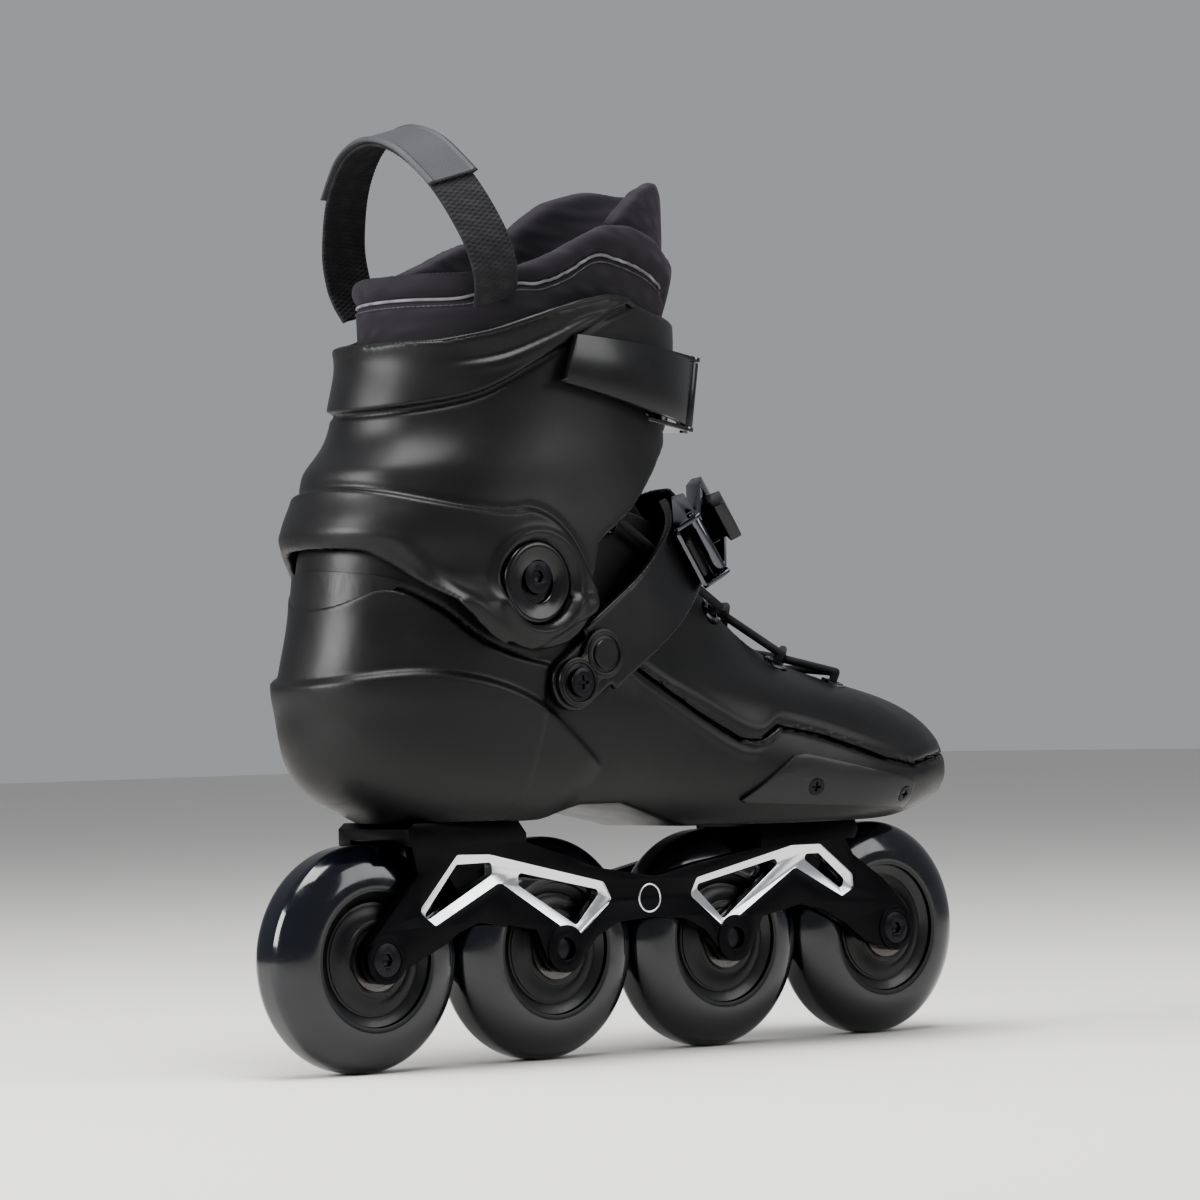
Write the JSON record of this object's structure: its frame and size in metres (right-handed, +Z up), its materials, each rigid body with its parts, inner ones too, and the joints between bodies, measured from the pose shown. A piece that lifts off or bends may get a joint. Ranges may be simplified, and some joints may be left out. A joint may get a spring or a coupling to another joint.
{
  "type": "inline skate",
  "caption": "Urban inline skate for the right foot: hard boot with hinged cuff, laced vamp, ratchet instep strap, padded liner with pull loop, and an aluminium frame with wheels in line.",
  "frame": {"origin": "on the ground plane, midway between the first and last axle and on the wheels' middle plane", "axes": "+X to the toe, +Y to the inner side of the leg, +Z up"},
  "size_m": [0.323, 0.1061, 0.3336],
  "materials": {
    "boot_plastic": "matt moulded black plastic",
    "cuff_plastic": "matt moulded black plastic",
    "slider_plastic": "satin dark grey wear plastic",
    "lever_plastic": "satin black plastic",
    "strap_plastic": "satin black flexible plastic",
    "liner_fabric": "padded black knit",
    "webbing": "woven black webbing",
    "lace": "round braided black lace",
    "label_rubber": "moulded grey rubber",
    "foam": "moulded foam",
    "black_chrome": "dark polished plating",
    "zinc_steel": "bright plated steel",
    "black_steel": "black oxide steel",
    "frame_aluminium": "satin black anodised with bright machined bevels",
    "tyre_urethane": "glossy cast polyurethane",
    "core_nylon": "moulded nylon",
    "bearing_steel": "ground bearing steel",
    "bearing_shield": "pressed steel shield and ring"
  },
  "bodies": {
    "boot": {"frame": "frame_aluminium", "axles": "black_steel", "bearing_inner_rings": "bearing_steel", "bearing_spacers": "bearing_steel", "mount_bolts": "black_steel", "mount_washers": "zinc_steel", "shell": "boot_plastic", "vamp": "boot_plastic", "eyelets": "black_chrome", "laces": "lace", "tongue_base": "liner_fabric", "liner_foot": "liner_fabric", "footbed": "foam", "shock_absorber": "foam", "toe_slider_outer": "slider_plastic", "toe_slider_inner": "slider_plastic", "slider_screws": "black_steel", "heel_badge": "cuff_plastic", "pivot_nuts": "zinc_steel", "pivot_bolts": "black_steel", "strap_screws": "black_steel"},
    "cuff": {"cuff": "cuff_plastic", "pivot_caps": "strap_plastic", "liner_cuff": "liner_fabric", "tongue_top": "liner_fabric", "pull_loop": "webbing", "pull_label": "label_rubber", "cuff_strap": "strap_plastic", "cuff_buckle_base": "black_chrome", "cuff_buckle_pin": "black_chrome", "cuff_rivets": "black_chrome"},
    "cuff_lever": {"cuff_lever": "lever_plastic"},
    "instep_strap": {"instep_strap_outer": "strap_plastic", "instep_ladder": "strap_plastic", "strap_links": "strap_plastic", "instep_buckle_base": "black_chrome", "instep_pins": "black_chrome"},
    "instep_lever": {"instep_lever": "black_chrome"},
    "instep_release": {"instep_release": "lever_plastic"},
    "wheel_1": {"tyre_1": "tyre_urethane", "core_1": "core_nylon", "bearing_outer_rings_1": "bearing_shield", "bearing_balls_1": "bearing_steel"},
    "wheel_2": {"tyre_2": "tyre_urethane", "core_2": "core_nylon", "bearing_outer_rings_2": "bearing_shield", "bearing_balls_2": "bearing_steel"},
    "wheel_3": {"tyre_3": "tyre_urethane", "core_3": "core_nylon", "bearing_outer_rings_3": "bearing_shield", "bearing_balls_3": "bearing_steel"},
    "wheel_4": {"tyre_4": "tyre_urethane", "core_4": "core_nylon", "bearing_outer_rings_4": "bearing_shield", "bearing_balls_4": "bearing_steel"}
  },
  "joints": [
    {"name": "wheel_1_spin", "type": "hinge", "parent": "boot", "child": "wheel_1", "pos_m": [-0.1215, 0, 0.04], "axis": [0, 1, 0], "continuous": true},
    {"name": "wheel_2_spin", "type": "hinge", "parent": "boot", "child": "wheel_2", "pos_m": [-0.0405, 0, 0.04], "axis": [0, 1, 0], "continuous": true},
    {"name": "wheel_3_spin", "type": "hinge", "parent": "boot", "child": "wheel_3", "pos_m": [0.0405, 0, 0.04], "axis": [0, 1, 0], "continuous": true},
    {"name": "wheel_4_spin", "type": "hinge", "parent": "boot", "child": "wheel_4", "pos_m": [0.1215, 0, 0.04], "axis": [0, 1, 0], "continuous": true},
    {"name": "cuff_flex", "type": "hinge", "parent": "boot", "child": "cuff", "pos_m": [-0.075, 0, 0.172], "axis": [0, 1, 0], "range_deg": [-3, 10], "stiffness_Nm_per_rad": 4},
    {"name": "cuff_lever_swing", "type": "hinge", "parent": "cuff", "child": "cuff_lever", "pos_m": [0.0105, -0.0315, 0.238], "axis": [0.1564, 0, 0.9877], "range_deg": [0, 90]},
    {"name": "instep_strap_swing", "type": "hinge", "parent": "boot", "child": "instep_strap", "pos_m": [-0.058, 0, 0.1348], "axis": [0, 1, 0], "range_deg": [-1, 0]},
    {"name": "instep_lever_swing", "type": "hinge", "parent": "instep_strap", "child": "instep_lever", "pos_m": [0.01486, -0.03491, 0.18395], "axis": [0.5592, 0, -0.829], "range_deg": [0, 60]},
    {"name": "instep_release_press", "type": "hinge", "parent": "instep_strap", "child": "instep_release", "pos_m": [0.02799, -0.01964, 0.19281], "axis": [-0.5592, 0, 0.829], "range_deg": [0, 20], "stiffness_Nm_per_rad": 0.05}
  ]
}
